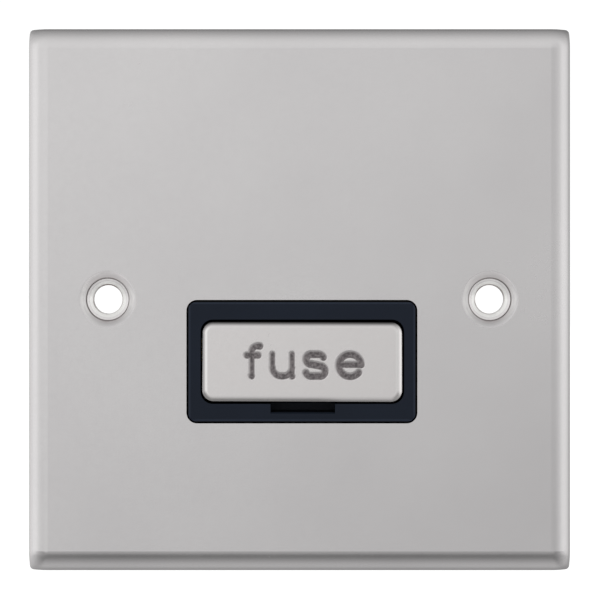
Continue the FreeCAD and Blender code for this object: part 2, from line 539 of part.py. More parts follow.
# ---- neutral link and earth strap ---------------------------------------------------------
link = box(-14.0, 14.0, 2.0, 2.8, 0.4, 4.2)
for s in (-1, 1):
    tab = strip([(2.4, 2.0), (2.4, 4.9), (5.6, 7.6), (5.6, 14.8)], 0.8, 0.9, min(s * 10.5, s * 13.9), max(s * 10.5, s * 13.9), "yz")
    link = link.fuse(tab)
save(link.removeSplitter(), "neutral_link")
strap = strip([(5.75, 8.4), (5.75, 24.32), (-0.95, 24.32), (-0.95, 31.2)], 0.5, 0.7, -2.5, 2.5, "yz")
strap = strap.cut(cyl_y(0, EARTH_STUD_Z, 1.6, -3, 2))
save(strap, "earth_strap")

# ---- terminal screws ----------------------------------------------------------------------
for name, x in TERM_X.items():
    z = TERM_ZC
    s = revolve_y(x, z, [(0, SCREW_TIP), (1.35, SCREW_TIP), (SCREW_R, SCREW_TIP + 0.4), (SCREW_R, SCREW_SEAT), (SCREW_HEAD_R, SCREW_SEAT),
                         (SCREW_HEAD_R, SCREW_SEAT + SCREW_HEAD_H - 0.25), (SCREW_HEAD_R - 0.25, SCREW_SEAT + SCREW_HEAD_H), (0, SCREW_SEAT + SCREW_HEAD_H)])
    ang = {"supply_live": 20, "supply_neutral": -35, "supply_earth": 65, "load_earth": 5, "load_neutral": -60, "load_live": 40}[name]
    top = SCREW_SEAT + SCREW_HEAD_H
    slot = box(x - 3, x + 3, top - 0.95, top + 1, z - 0.4, z + 0.4)
    cross = box(x - 0.36, x + 0.36, top - 0.95, top + 1, z - 1.35, z + 1.35)
    rec = slot.fuse(cross)
    rec.rotate(V(x, 0, z), V(0, 1, 0), ang)
    s = s.cut(rec)
    save(s, name + "_screw")
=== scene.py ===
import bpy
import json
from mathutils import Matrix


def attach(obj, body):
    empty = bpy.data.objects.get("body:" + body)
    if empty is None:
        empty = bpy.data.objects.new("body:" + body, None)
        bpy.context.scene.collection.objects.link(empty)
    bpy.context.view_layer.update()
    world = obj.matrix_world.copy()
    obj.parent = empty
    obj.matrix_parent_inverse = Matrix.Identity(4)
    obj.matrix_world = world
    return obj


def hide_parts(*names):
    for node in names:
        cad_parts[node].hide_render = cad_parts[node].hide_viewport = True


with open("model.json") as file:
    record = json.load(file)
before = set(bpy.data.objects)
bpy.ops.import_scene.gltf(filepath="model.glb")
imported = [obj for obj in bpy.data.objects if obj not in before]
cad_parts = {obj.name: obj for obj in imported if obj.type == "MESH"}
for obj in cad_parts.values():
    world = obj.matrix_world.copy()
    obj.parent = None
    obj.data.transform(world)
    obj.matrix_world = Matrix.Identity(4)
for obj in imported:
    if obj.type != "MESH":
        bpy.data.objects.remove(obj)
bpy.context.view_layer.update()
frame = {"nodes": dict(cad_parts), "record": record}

import bmesh
import bpy
import json
import math
from mathutils import Vector

NODES = frame["nodes"]
scene = bpy.context.scene
scene.view_settings.view_transform = "Standard"
scene.view_settings.look = "None"
scene.view_settings.exposure = 0.0
scene.view_settings.gamma = 1.0

MM = 0.001

# ---- camera: straight on, about 0.42 m from the face, plate centre in the middle -----------
CAM_D = 0.42
PX_PER_MM = 6.338
cam_data = bpy.data.cameras.new("camera")
cam = bpy.data.objects.new("camera", cam_data)
scene.collection.objects.link(cam)
cam.location = (0.00008, -0.0042 - CAM_D, -0.00005)
cam.rotation_euler = (math.radians(90), 0, 0)
cam_data.sensor_width = 36.0
cam_data.lens = 36.0 * PX_PER_MM * (CAM_D / MM) / 600.0
cam_data.clip_start = 0.01
cam_data.clip_end = 50.0
cam_data.dof.use_dof = False
scene.camera = cam


# ---- small helpers for node materials ------------------------------------------------------
def new_mat(name):
    m = bpy.data.materials.new(name)
    m.use_nodes = True
    nt = m.node_tree
    nt.nodes.clear()
    out = nt.nodes.new("ShaderNodeOutputMaterial")
    bsdf = nt.nodes.new("ShaderNodeBsdfPrincipled")
    nt.links.new(bsdf.outputs["BSDF"], out.inputs["Surface"])
    return m, nt, bsdf, out


def node(nt, kind, **props):
    n = nt.nodes.new(kind)
    for k, v in props.items():
        if k.startswith("in_"):
            n.inputs[k[3:].replace("_", " ")].default_value = v
        else:
            setattr(n, k, v)
    return n


def math_node(nt, op, a, b=None, c=None, clamp=False):
    n = nt.nodes.new("ShaderNodeMath")
    n.operation = op
    n.use_clamp = clamp
    for i, v in enumerate((a, b, c)):
        if v is None:
            continue
        if isinstance(v, (int, float)):
            n.inputs[i].default_value = v
        else:
            nt.links.new(v, n.inputs[i])
    return n.outputs[0]


def remap(nt, v, a, b, c, d):
    n = nt.nodes.new("ShaderNodeMapRange")
    n.clamp = True
    nt.links.new(v, n.inputs["Value"])
    n.inputs["From Min"].default_value = a
    n.inputs["From Max"].default_value = b
    n.inputs["To Min"].default_value = c
    n.inputs["To Max"].default_value = d
    return n.outputs["Result"]


def smooth(nt, v, a, b, c=0.0, d=1.0):
    n = nt.nodes.new("ShaderNodeMapRange")
    n.interpolation_type = "SMOOTHSTEP"
    nt.links.new(v, n.inputs["Value"])
    n.inputs["From Min"].default_value = a
    n.inputs["From Max"].default_value = b
    n.inputs["To Min"].default_value = c
    n.inputs["To Max"].default_value = d
    return n.outputs["Result"]


def noise(nt, coord, scale, detail=2.0, rough=0.5, dim="3D"):
    n = nt.nodes.new("ShaderNodeTexNoise")
    n.noise_dimensions = dim
    n.inputs["Scale"].default_value = scale
    n.inputs["Detail"].default_value = detail
    n.inputs["Roughness"].default_value = rough
    nt.links.new(coord, n.inputs["Vector"])
    return n.outputs["Fac"]


def mix_color(nt, fac, a, b):
    n = nt.nodes.new("ShaderNodeMix")
    n.data_type = "RGBA"
    if isinstance(fac, (int, float)):
        n.inputs[0].default_value = fac
    else:
        nt.links.new(fac, n.inputs[0])
    for i, v in ((6, a), (7, b)):
        if isinstance(v, tuple):
            n.inputs[i].default_value = v if len(v) == 4 else (*v, 1.0)
        else:
            nt.links.new(v, n.inputs[i])
    return n.outputs[2]


def bump(nt, height, strength, distance, normal=None):
    n = nt.nodes.new("ShaderNodeBump")
    n.inputs["Strength"].default_value = strength
    n.inputs["Distance"].default_value = distance
    nt.links.new(height, n.inputs["Height"])
    if normal is not None:
        nt.links.new(normal, n.inputs["Normal"])
    return n.outputs["Normal"]


def obj_coord(nt):
    return nt.nodes.new("ShaderNodeTexCoord").outputs["Object"]


# ---- materials -----------------------------------------------------------------------------
FACE_Y = -0.0042
ROUGH = 0.25
HOLES_X, HOLE_Z = (-0.03027, 0.03003), 0.00006
WIN_X, WIN_Z = 0.00038, -0.00978


def satin_base(nt, co, lo_c, hi_c):
    """Colour and roughness of the satin finish: very fine blasted grain, faint clouding."""
    cloud = noise(nt, co, 38.0, 3.0, 0.55)
    fine = noise(nt, co, 5200.0, 2.0, 0.6)
    mid = noise(nt, co, 900.0, 3.0, 0.55)
    base = mix_color(nt, remap(nt, cloud, 0.3, 0.7, 0.0, 1.0), lo_c, hi_c)
    base = mix_color(nt, remap(nt, fine, 0.35, 0.65, 0.0, 0.10), base, tuple(c * 0.74 for c in lo_c))
    rough = math_node(nt, "ADD", remap(nt, cloud, 0.3, 0.7, ROUGH - 0.015, ROUGH + 0.015), remap(nt, mid, 0.3, 0.7, -0.015, 0.015))
    normal = bump(nt, mid, 0.05, 0.00005, bump(nt, fine, 0.10, 0.00004))
    return base, rough, normal


def satin_plate(name):
    """The plate: satin all over; the window's cut edges, down in the gap by the frame, are painted near black as shade.
    """
    m, nt, b, _ = new_mat(name)
    co = obj_coord(nt)
    base, rough, normal = satin_base(nt, co, (0.661, 0.648, 0.654), (0.707, 0.694, 0.699))
    sep = nt.nodes.new("ShaderNodeSeparateXYZ")
    nt.links.new(co, sep.inputs[0])
    x, y, z = sep.outputs
    wx = math_node(nt, "LESS_THAN", math_node(nt, "ABSOLUTE", math_node(nt, "SUBTRACT", x, WIN_X)), 0.01825)
    wz = math_node(nt, "LESS_THAN", math_node(nt, "ABSOLUTE", math_node(nt, "SUBTRACT", z, WIN_Z)), 0.009775)
    # painted shade: the window's cut edges, in the gap behind the frame, painted near black and less metallic
    window_gap_shade = math_node(nt, "MULTIPLY", math_node(nt, "MULTIPLY", wx, wz), math_node(nt, "GREATER_THAN", y, FACE_Y + 0.00003))
    base = mix_color(nt, window_gap_shade, base, (0.012, 0.011, 0.011))
    nt.links.new(math_node(nt, "SUBTRACT", 1.0, math_node(nt, "MULTIPLY", window_gap_shade, 0.7)), b.inputs["Metallic"])
    nt.links.new(base, b.inputs["Base Color"])
    nt.links.new(rough, b.inputs["Roughness"])
    nt.links.new(normal, b.inputs["Normal"])
    return m


def hole_offset(nt, co):
    """Offset in x and z, and distance, from the nearer fixing hole's axis, and the depth axis."""
    sep = nt.nodes.new("ShaderNodeSeparateXYZ")
    nt.links.new(co, sep.inputs[0])
    x, y, z = sep.outputs
    cx = math_node(nt, "ADD", HOLES_X[0], math_node(nt, "MULTIPLY", math_node(nt, "GREATER_THAN", x, 0.0), HOLES_X[1] - HOLES_X[0]))
    dx = math_node(nt, "SUBTRACT", x, cx)
    dz = math_node(nt, "SUBTRACT", z, HOLE_Z)
    r = math_node(nt, "SQRT", math_node(nt, "ADD", math_node(nt, "MULTIPLY", dx, dx), math_node(nt, "MULTIPLY", dz, dz)))
    return dx, dz, r, y


def radial_tangent(nt, dx, dz, b):
    radial = nt.nodes.new("ShaderNodeCombineXYZ")
    nt.links.new(dx, radial.inputs[0])
    nt.links.new(dz, radial.inputs[2])
    unit = nt.nodes.new("ShaderNodeVectorMath")
    unit.operation = "NORMALIZE"
    nt.links.new(radial.outputs[0], unit.inputs[0])
    nt.links.new(unit.outputs[0], b.inputs["Tangent"])


def turned_dish(name):
    """The shallow dishes: marks run round the hole, so the gloss spreads along its radius."""
    m, nt, b, _ = new_mat(name)
    co = obj_coord(nt)
    base, rough, normal = satin_base(nt, co, (0.661, 0.648, 0.654), (0.707, 0.694, 0.699))
    dx, dz, r, y = hole_offset(nt, co)
    b.inputs["Metallic"].default_value = 1.0
    ax, az = math_node(nt, "DIVIDE", dx, r), math_node(nt, "DIVIDE", dz, r)
    ends, poles = math_node(nt, "MULTIPLY", ax, ax), math_node(nt, "MULTIPLY", az, az)
    ring_co = nt.nodes.new("ShaderNodeCombineXYZ")
    nt.links.new(r, ring_co.inputs[0])
    nt.links.new(math_node(nt, "MULTIPLY", az, 0.00045), ring_co.inputs[1])
    nt.links.new(math_node(nt, "MULTIPLY", ax, 0.00045), ring_co.inputs[2])
    marks = noise(nt, ring_co.outputs[0], 3600.0, 2.0, 0.6)
    # painted highlight: the dish's left and right ends painted brighter, broken up by the turning marks
    painted_lighting = math_node(nt, "MULTIPLY", math_node(nt, "MULTIPLY", smooth(nt, r, 0.00455, 0.00405), ends), remap(nt, marks, 0.34, 0.62, 0.35, 1.0))
    base = mix_color(nt, painted_lighting, base, (0.93, 0.915, 0.91))
    # painted light and shade: the dish's upper side is painted paler, and its lower side gets the heavier painted halo
    # below
    pale = math_node(nt, "MULTIPLY", math_node(nt, "MULTIPLY", smooth(nt, r, 0.00458, 0.00425), smooth(nt, az, 0.25, 0.85)), remap(nt, marks, 0.34, 0.62, 0.45, 0.72))
    base = mix_color(nt, pale, base, (0.93, 0.895, 0.90))
    # painted shade: a dark halo above and below each hole, heaviest below
    poles = math_node(nt, "MULTIPLY", poles, smooth(nt, az, -0.2, 0.6, 1.0, 0.30))
    painted_halo_shade = math_node(nt, "MULTIPLY", math_node(nt, "MULTIPLY", smooth(nt, r, 0.00415, 0.00345), poles), remap(nt, marks, 0.34, 0.62, 0.16, 0.42))
    base = mix_color(nt, painted_halo_shade, base, (0.30, 0.245, 0.24))
    # painted shade: a dark line at the dish's inner edge, where it steps down into the countersink
    base = mix_color(nt, smooth(nt, r, 0.00352, 0.00340, 0.0, 0.62), base, (0.16, 0.125, 0.12))
    nt.links.new(base, b.inputs["Base Color"])
    nt.links.new(math_node(nt, "ADD", rough, smooth(nt, r, 0.00450, 0.00395, 0.0, 0.20)), b.inputs["Roughness"])
    nt.links.new(normal, b.inputs["Normal"])
    b.inputs["Anisotropic"].default_value = 0.80
    radial_tangent(nt, dx, dz, b)
    return m


def cut_metal(name):
    """The countersinks: cut metal, brighter than the satin, with the tool's circular marks; most of their near-white
    brightness is a painted reflection.
    """
    m, nt, b, _ = new_mat(name)
    co = obj_coord(nt)
    base, rough, normal = satin_base(nt, co, (0.661, 0.648, 0.654), (0.707, 0.694, 0.699))
    dx, dz, r, y = hole_offset(nt, co)
    # only in front of the sheet's back, so the pan's inside stays satin
    cut = math_node(nt, "MULTIPLY", smooth(nt, r, 0.00336, 0.00326), smooth(nt, y, FACE_Y + 0.00040, FACE_Y + 0.00052))
    wall = smooth(nt, r, 0.00322, 0.00332)
    ring_co = nt.nodes.new("ShaderNodeCombineXYZ")
    nt.links.new(r, ring_co.inputs[0])
    rings = noise(nt, ring_co.outputs[0], 5200.0, 2.0, 0.6)
    patch = noise(nt, co, 520.0, 2.0, 0.5)
    # painted reflection: the cone's near-white brightness is painted into its colour, on a surface made half metallic;
    # the ring marks and patches are the tool's own
    bright = mix_color(nt, smooth(nt, r, 0.00318, 0.00262), (0.86, 0.835, 0.84), (0.985, 0.985, 0.965))
    bright = mix_color(nt, remap(nt, rings, 0.35, 0.65, 0.0, 0.36), bright, (0.80, 0.79, 0.79))
    bright = mix_color(nt, remap(nt, patch, 0.35, 0.65, 0.0, 0.24), bright, (0.74, 0.73, 0.72))
    base = mix_color(nt, cut, base, bright)
    # painted shade: a dark line at the bore's edge, heavier above; a faint darker line in the cone, also darker above
    above = remap(nt, math_node(nt, "DIVIDE", math_node(nt, "SUBTRACT", dz, math_node(nt, "MULTIPLY", dx, 0.35)), r), -0.9, 1.0, 0.45, 1.0)
    bore_edge_shade = math_node(nt, "MULTIPLY", math_node(nt, "MULTIPLY", smooth(nt, r, 0.00246, 0.00238), remap(nt, patch, 0.35, 0.6, 0.45, 1.0)), above)
    base = mix_color(nt, bore_edge_shade, base, (0.20, 0.155, 0.145))
    groove = math_node(nt, "MULTIPLY", smooth(nt, r, 0.00302, 0.00297), smooth(nt, r, 0.00287, 0.00292))
    base = mix_color(nt, math_node(nt, "MULTIPLY", math_node(nt, "MULTIPLY", groove, above), 0.40), base, (0.42, 0.40, 0.41))
    # painted shade: the steep wall at the countersink's outer edge painted dark
    base = mix_color(nt, math_node(nt, "MULTIPLY", wall, 0.90), base, (0.12, 0.095, 0.092))
    nt.links.new(base, b.inputs["Base Color"])
    nt.links.new(math_node(nt, "SUBTRACT", 1.0, math_node(nt, "MULTIPLY", cut, 0.52)), b.inputs["Metallic"])
    nt.links.new(math_node(nt, "ADD", rough, 0.06), b.inputs["Roughness"])
    nt.links.new(normal, b.inputs["Normal"])
    b.inputs["Anisotropic"].default_value = 0.35
    radial_tangent(nt, dx, dz, b)
    return m


def satin_cap(name):
    """The drawer's cap: a little paler than the plate, dark filler in the word's grooves, painted highlights and
    painted shade at its rim.
    """
    m, nt, b, _ = new_mat(name)
    co = obj_coord(nt)
    base, rough, normal = satin_base(nt, co, (0.718, 0.697, 0.696), (0.746, 0.725, 0.723))
    at = nt.nodes.new("ShaderNodeAttribute")
    at.attribute_name = "filler"
    ink = at.outputs["Fac"]
    at2 = nt.nodes.new("ShaderNodeAttribute")
    at2.attribute_name = "tone"
    at3 = nt.nodes.new("ShaderNodeAttribute")
    at3.attribute_name = "rim_shade"
    at4 = nt.nodes.new("ShaderNodeAttribute")
    at4.attribute_name = "rim_glint"
    # painted highlight along the ends' rims, then painted shade along the rim and on the skirt
    base = mix_color(nt, at4.outputs["Fac"], base, (0.93, 0.92, 0.91))
    base = mix_color(nt, at3.outputs["Fac"], base, (0.040, 0.038, 0.038))
    speck = noise(nt, co, 2300.0, 3.0, 0.65)
    blot = noise(nt, co, 700.0, 3.0, 0.6)
    # the filler's edge is not quite even
    edge = math_node(nt, "ADD", ink, math_node(nt, "MULTIPLY", math_node(nt, "SUBTRACT", blot, 0.5), math_node(nt, "MULTIPLY", math_node(nt, "MULTIPLY", ink, math_node(nt, "SUBTRACT", 1.0, ink)), 1.2)), clamp=True)
    # the filler's painted light, lighter on its flanks
    dark = mix_color(nt, at2.outputs["Fac"], (0.052, 0.044, 0.046), (0.208, 0.190, 0.193))
    dark = mix_color(nt, remap(nt, speck, 0.43, 0.60, 0.0, 0.72), dark, (0.236, 0.213, 0.218))
    nt.links.new(mix_color(nt, edge, base, dark), b.inputs["Base Color"])
    nt.links.new(math_node(nt, "SUBTRACT", 1.0, math_node(nt, "MULTIPLY", edge, 0.85)), b.inputs["Metallic"])
    nt.links.new(math_node(nt, "ADD", rough, math_node(nt, "MULTIPLY", edge, 0.22)), b.inputs["Roughness"])
    nt.links.new(normal, b.inputs["Normal"])
    return m


def black_moulding(name, tint=(0.0050, 0.0083, 0.0160), grain=1.0, framed=False, gloss=0.16):
    """Moulded black plastic with a fine spark-eroded texture and faint handling marks; when framed, painted highlight
    and painted shade at the frame's edges.
    """
    m, nt, b, _ = new_mat(name)
    co = obj_coord(nt)
    cell = noise(nt, co, 2600.0, 3.0, 0.6)
    cloud = noise(nt, co, 60.0, 3.0, 0.5)
    light = tuple(min(1.0, c * 1.3) for c in tint)
    base = mix_color(nt, remap(nt, cloud, 0.3, 0.7, 0.0, 1.0), tint, light)
    if framed:
        sep = nt.nodes.new("ShaderNodeSeparateXYZ")
        nt.links.new(co, sep.inputs[0])
        x, y, z = sep.outputs
        ax = math_node(nt, "SUBTRACT", math_node(nt, "ABSOLUTE", math_node(nt, "SUBTRACT", x, WIN_X)), 0.01796)
        az = math_node(nt, "SUBTRACT", math_node(nt, "ABSOLUTE", math_node(nt, "SUBTRACT", z, WIN_Z)), 0.009485)
        e = math_node(nt, "MAXIMUM", ax, az)
        near = math_node(nt, "LESS_THAN", y, FACE_Y - 0.00002)
        # painted highlight: a lighter line on the frame's rounded outer edge
        painted_lighting = math_node(nt, "MULTIPLY", math_node(nt, "MULTIPLY", smooth(nt, e, -0.00046, -0.00030), smooth(nt, e, -0.00010, -0.00018)), near)
        base = mix_color(nt, math_node(nt, "MULTIPLY", painted_lighting, remap(nt, cell, 0.3, 0.7, 0.55, 0.95)), base, tuple(c * 2.0 + 0.006 for c in tint))
        # painted shade: the outermost edge of the frame, next to the gap, painted near black
        base = mix_color(nt, math_node(nt, "MULTIPLY", smooth(nt, e, -0.00013, -0.00005), near), base, (0.0008, 0.0011, 0.0018))
        # painted shade: the frame's sides, the aperture and the notch see no light, so they are painted near black
        side = math_node(nt, "GREATER_THAN", y, -0.0046 + 0.00026)
        base = mix_color(nt, math_node(nt, "MULTIPLY", side, math_node(nt, "LESS_THAN", y, -0.0031)), base, (0.0008, 0.0011, 0.0018))
    nt.links.new(base, b.inputs["Base Color"])
    nt.links.new(math_node(nt, "ADD", remap(nt, cloud, 0.3, 0.7, 0.42, 0.50), remap(nt, cell, 0.3, 0.7, -0.04, 0.04)), b.inputs["Roughness"])
    b.inputs["Specular IOR Level"].default_value = gloss
    nt.links.new(bump(nt, cell, 0.25 * grain, 0.00003), b.inputs["Normal"])
    return m


def brass(name, lines="Z", tone=(0.78, 0.59, 0.29)):
    """Brass with drawn lines along one axis, slight tarnish in patches."""
    m, nt, b, _ = new_mat(name)
    co = obj_coord(nt)
    b.inputs["Metallic"].default_value = 1.0
    mp = node(nt, "ShaderNodeMapping")
    mp.inputs["Scale"].default_value = {"X": (0.04, 1, 1), "Y": (1, 0.04, 1), "Z": (1, 1, 0.04)}[lines]
    nt.links.new(co, mp.inputs["Vector"])
    drawn = noise(nt, mp.outputs[0], 3800.0, 3.0, 0.6)
    patch = noise(nt, co, 240.0, 4.0, 0.6)
    dark = tuple(c * k for c, k in zip(tone, (0.62, 0.56, 0.50)))
    nt.links.new(mix_color(nt, smooth(nt, patch, 0.52, 0.78), tone, dark), b.inputs["Base Color"])
    nt.links.new(math_node(nt, "ADD", remap(nt, patch, 0.3, 0.8, 0.22, 0.40), remap(nt, drawn, 0.3, 0.7, -0.05, 0.05)), b.inputs["Roughness"])
    nt.links.new(bump(nt, drawn, 0.22, 0.00003), b.inputs["Normal"])
    return m


def bright_steel(name, tone=(0.62, 0.62, 0.61), rough=(0.24, 0.36), grain=1.0):
    m, nt, b, _ = new_mat(name)
    co = obj_coord(nt)
    b.inputs["Metallic"].default_value = 1.0
    g = noise(nt, co, 2400.0, 4.0, 0.6)
    p = noise(nt, co, 300.0, 3.0, 0.5)
    nt.links.new(mix_color(nt, remap(nt, p, 0.35, 0.7, 0.0, 0.6), tone, tuple(c * 0.72 for c in tone)), b.inputs["Base Color"])
    nt.links.new(math_node(nt, "ADD", remap(nt, p, 0.3, 0.7, rough[0], rough[1]), remap(nt, g, 0.3, 0.7, -0.03, 0.03)), b.inputs["Roughness"])
    nt.links.new(bump(nt, g, 0.15 * grain, 0.00003), b.inputs["Normal"])
    return m


def ceramic(name):
    m, nt, b, _ = new_mat(name)
    co = obj_coord(nt)
    g = noise(nt, co, 3000.0, 4.0, 0.65)
    p = noise(nt, co, 220.0, 3.0, 0.5)
    nt.links.new(mix_color(nt, remap(nt, p, 0.35, 0.7, 0.0, 1.0), (0.80, 0.78, 0.72), (0.86, 0.85, 0.81)), b.inputs["Base Color"])
    nt.links.new(remap(nt, g, 0.3, 0.7, 0.50, 0.62), b.inputs["Roughness"])
    nt.links.new(bump(nt, g, 0.2, 0.00004), b.inputs["Normal"])
    return m


MATS = {
    "satin_steel": satin_plate("satin_plate"),
    "black_moulding": black_moulding("black_moulding"),
    "carrier_moulding": black_moulding("carrier_moulding", (0.0085, 0.0095, 0.0120)),
    "fuse_ceramic": ceramic("fuse_ceramic"),
    "plated_cap": bright_steel("plated_cap", (0.74, 0.73, 0.70), (0.12, 0.20), 0.5),
    "fuse_wire": brass("fuse_wire", "X", (0.72, 0.45, 0.30)),
    "contact_brass": brass("contact_brass", "Z", (0.80, 0.61, 0.31)),
    "terminal_brass": brass("terminal_brass", "Y", (0.77, 0.58, 0.27)),
    "stud_steel": bright_steel("stud_steel", (0.56, 0.55, 0.53), (0.28, 0.40)),
    "spring_steel": bright_steel("spring_steel", (0.20, 0.20, 0.22), (0.30, 0.42)),
    "screw_steel": bright_steel("screw_steel", (0.63, 0.63, 0.60), (0.22, 0.34)),
}
CAP_MAT = satin_cap("satin_cap")
DISH_MAT = turned_dish("turned_dish")
CUT_MAT = cut_metal("cut_metal")
FRAME_MAT = black_moulding("black_frame", framed=True)
# painted shade: near black with no gloss, for faces in the gap
GAP_SHADE_MAT = black_moulding("gap_shade", (0.0004, 0.0005, 0.0008), 0.5, gloss=0.0)

slots = {s["node"]: s["material_slot"] for s in frame["record"]["subparts"]}
for name, ob in NODES.items():
    mat = {"carrier_cap": CAP_MAT, "housing": FRAME_MAT}.get(name, MATS[slots[name]])
    ob.data.materials.clear()
    ob.data.materials.append(mat)
    for p in ob.data.polygons:
        p.material_index = 0

# painted shade: the frame's outer sides and the flange behind the plate's window sit in a gap that no light reaches,
# and get a near-black material with no gloss
house_me = NODES["housing"].data
house_me.materials.append(GAP_SHADE_MAT)
for p in house_me.polygons:
    pts = [house_me.vertices[i].co for i in p.vertices]
    low, high = min(v.y for v in pts), max(v.y for v in pts)
    edge = min(max(abs(v.x - WIN_X) - 0.01796, abs(v.z - WIN_Z) - 0.009485) for v in pts)
    if (low > -0.00435 and high < -0.0031 and edge > -0.00045) or (abs(low + 0.0032) < 1e-5 and abs(high + 0.0032) < 1e-5):
        p.material_index = 1

# the two dishes of the plate, and the countersinks in them
plate_me = NODES["front_plate"].data
plate_me.materials.append(DISH_MAT)
plate_me.materials.append(CUT_MAT)
for p in plate_me.polygons:
    pts = [plate_me.vertices[i].co for i in p.vertices]
    reach = [min(math.hypot(v.x - hx, v.z - HOLE_Z) for hx in HOLES_X) for v in pts]
    if all(v.y < FACE_Y + 0.00125 and q < 0.00462 for v, q in zip(pts, reach)):
        p.material_index = 2 if max(reach) < 0.003405 else 1

# ---- the drawer's cap, as a fine mesh with the word sunk in its face ---------------------------
CAP_W, CAP_H, CAP_RC = 31.51, 12.5, 1.8
CAP_X, CAP_Z = 0.40, -9.78
CAP_Y0, CAP_Y1, CAP_T = -4.90, -3.4, 0.6
LEAN_X, LEAN_Z = -0.0090, 0.012        # the cap sits a hair proud at its lower right, as in the photograph
ASKEW = -0.0032                        # and a hair turned, its right end low
SINK = 0.21
# straight runs and arcs of the strokes, in mm from the cap's centre; the last number is the width
LETTERS = [
    # f
    ("line", (-7.92, -2.38), (-7.92, 1.52), 0.90), ("arc", (-6.97, 1.52), 0.95, 180, 90, 1.02), ("line", (-6.97, 2.45), (-6.66, 2.43), 1.14),
    ("line", (-8.70, 0.99), (-6.92, 0.99), 1.08), ("line", (-8.00, -2.24), (-7.92, -2.24), 1.04),
    # u
    ("line", (-4.68, 1.21), (-4.68, -0.91), 0.92), ("arc", (-3.30, -0.91), 1.36, 180, 270, 1.06), ("line", (-3.30, -2.26), (-2.93, -2.26), 1.10),
    ("arc", (-2.93, -0.91), 1.36, 270, 360, 1.0), ("line", (-1.59, 1.21), (-1.59, -2.37), 0.92),
    ("line", (-1.57, -2.30), (-1.52, -2.30), 1.00),
    # s
    ("arc", (2.60, 0.33), 0.83, 26, 90, 1.14), ("line", (2.60, 1.15), (1.46, 1.15), 1.18), ("arc", (1.46, 0.38), 0.80, 90, 254, 1.18),
    ("line", (1.24, -0.35), (3.02, -0.69), 1.20), ("arc", (2.80, -1.47), 0.80, 74, -90, 1.18), ("line", (2.80, -2.26), (1.42, -2.26), 1.18),
    ("arc", (1.42, -1.43), 0.86, 270, 200, 1.14),
    # e
    ("arc", (7.56, -0.56), 1.75, 4, 321, 1.14), ("line", (5.86, -0.43), (9.33, -0.43), 1.06),
]


def stroke_near(item, x, z):
    """Distance past the stroke's edge, offset of the point from the nearest centre point, half width."""
    w = item[-1] / 2
    if item[0] == "line":
        (x0, z0), (x1, z1) = item[1], item[2]
        dx, dz = x1 - x0, z1 - z0
        t = ((x - x0) * dx + (z - z0) * dz) / (dx * dx + dz * dz)
        t = min(1.0, max(0.0, t))
        cx, cz = x0 + t * dx, z0 + t * dz
    else:
        (ax, az), r, a0, a1 = item[1], item[2], item[3], item[4]
        lo_a, hi_a = min(a0, a1), max(a0, a1)
        a = math.degrees(math.atan2(z - az, x - ax))
        while a < lo_a:
            a += 360.0
        while a >= lo_a + 360.0:
            a -= 360.0
        if a > hi_a:
            a = hi_a if a - hi_a < lo_a + 360.0 - a else lo_a
        cx, cz = ax + r * math.cos(math.radians(a)), az + r * math.sin(math.radians(a))
    ox, oz = x - cx, z - cz
    return math.hypot(ox, oz) - w, ox, oz, w


def step(v, a, b):
    t = min(1.0, max(0.0, (v - a) / (b - a)))
    return t * t * (3 - 2 * t)


def word_at(x, z):
    """Depth of the groove, cover of the dark filler and the painted light on the filler at a point of the face."""
    if not (-9.6 < x < 10.4 and -3.4 < z < 3.5):
        return 0.0, 0.0, 0.0
    best = None
    for item in LETTERS:
        e, ox, oz, w = stroke_near(item, x, z)
        if best is None or e < best[0]:
            best = (e, ox, oz, w)
    e, ox, oz, w = best
    if e > 0.35:
        return 0.0, 0.0, 0.0
    d0 = math.hypot(ox, oz)
    nx, nz = (ox / d0, oz / d0) if d0 > 1e-6 else (0.0, 0.0)
    # the filler fades on the upper left flank of a stroke and is sharp on the lower right one
    lean = 0.5 + 0.5 * max(-1.0, min(1.0, (-0.55 * nx + 0.83 * nz)))
    depth = SINK * (1.0 - step(e, -0.30, 0.05))
    soft0, soft1 = -0.06 - 0.30 * lean, 0.07 + 0.20 * lean
    cover = 1.0 - step(e, soft0, soft1)
    # painted light: the filler is lighter on a stroke's flanks, most on upright strokes whose flanks face the side
    # lights
    side = abs(nx)
    tone = (0.25 + 0.55 * side) * (1.0 - abs(d0 / w - 0.72) * 1.6) if d0 / w > 0.25 else 0.12
    return depth, cover, min(1.0, max(0.0, tone))


def edge_drop(dist, nx, nz, x):
    """How far the cap's face falls back near its rim, how much painted shade its rim gets there and how much painted
    highlight its ends get. The ends are rolled more steeply than the long sides."""
    end, top, low = nx * nx, nz * nz if nz > 0 else 0.0, nz * nz if nz < 0 else 0.0
    t = max(0.0, 1.0 - dist / 0.8)
    side = (0.45 if nx > 0 else 0.34) * t ** (1.6 if nx > 0 else 1.7)
    drop = end * side + top * 0.30 * t ** 2 + low * (0.138 - 0.050 * step(x, 2.0, 7.0)) * max(0.0, 1.0 - dist / 0.95) ** 2.65
    # painted shade along the top edge and the left end, where the frame hides the light
    top_rim_shade = top * (1.0 - step(dist, -0.02, 0.86))
    left_rim_shade = (end if nx < 0 else 0.0) * (1.0 - step(dist, 0.27, 0.50)) * 0.50
    # painted highlight: bright bands along the ends, two on the right one
    if nx < 0:
        rim_glint = 0.70 * step(dist, 0.44, 0.54) * (1.0 - step(dist, 0.70, 0.94))
    else:
        rim_glint = 0.66 * step(dist, 0.12, 0.24) * (1.0 - step(dist, 0.32, 0.46)) + 0.48 * step(dist, 0.48, 0.60) * (1.0 - step(dist, 0.78, 1.08))
    return drop, min(1.0, top_rim_shade + left_rim_shade), end * rim_glint


